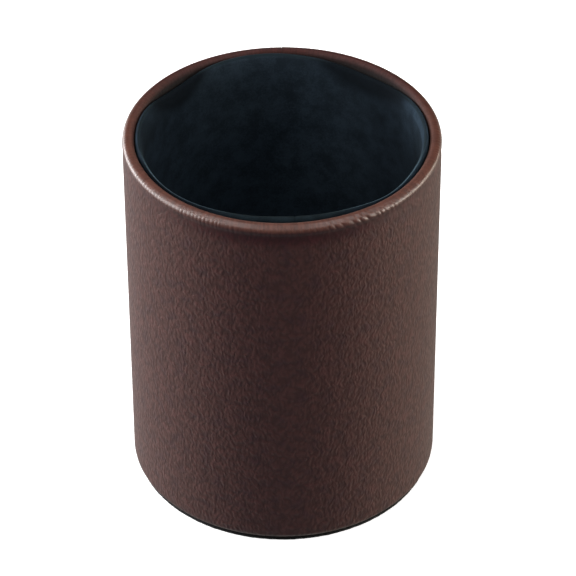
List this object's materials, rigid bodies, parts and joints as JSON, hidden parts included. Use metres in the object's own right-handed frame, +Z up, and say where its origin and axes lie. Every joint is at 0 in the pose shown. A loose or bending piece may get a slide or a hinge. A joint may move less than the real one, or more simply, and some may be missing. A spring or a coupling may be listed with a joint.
{
  "type": "dice cup",
  "caption": "Straight round dice cup: a stiff tube covered in leather turned in over the rim, with a velvet lining, a padded floor inside and a felt base.",
  "frame": {"origin": "centre of the underside, on the plane the cup stands on", "axes": "+Z up along the cup's axis, towards its mouth; -Y is the front and +Y is where the leather's seam runs down; +X to the right seen from the front"},
  "size_m": [0.075, 0.075, 0.095],
  "materials": {
    "leather": "fine-grained, satin, reddish brown with dark mottling",
    "velvet": "short-pile velvet, blue-black",
    "felt": "pressed felt, black",
    "board": "grey-brown millboard",
    "card": "smooth manila card",
    "foam": "soft open-cell pad, grey"
  },
  "bodies": {
    "root": {"leather_cover": "leather", "core_tube": "board", "core_floor": "board", "wall_infill_card": "board", "lining_card": "card", "lining_velvet": "velvet", "floor_pad": "foam", "floor_card": "card", "floor_velvet": "velvet", "base_infill_card": "card", "base_felt": "felt"}
  },
  "joints": []
}
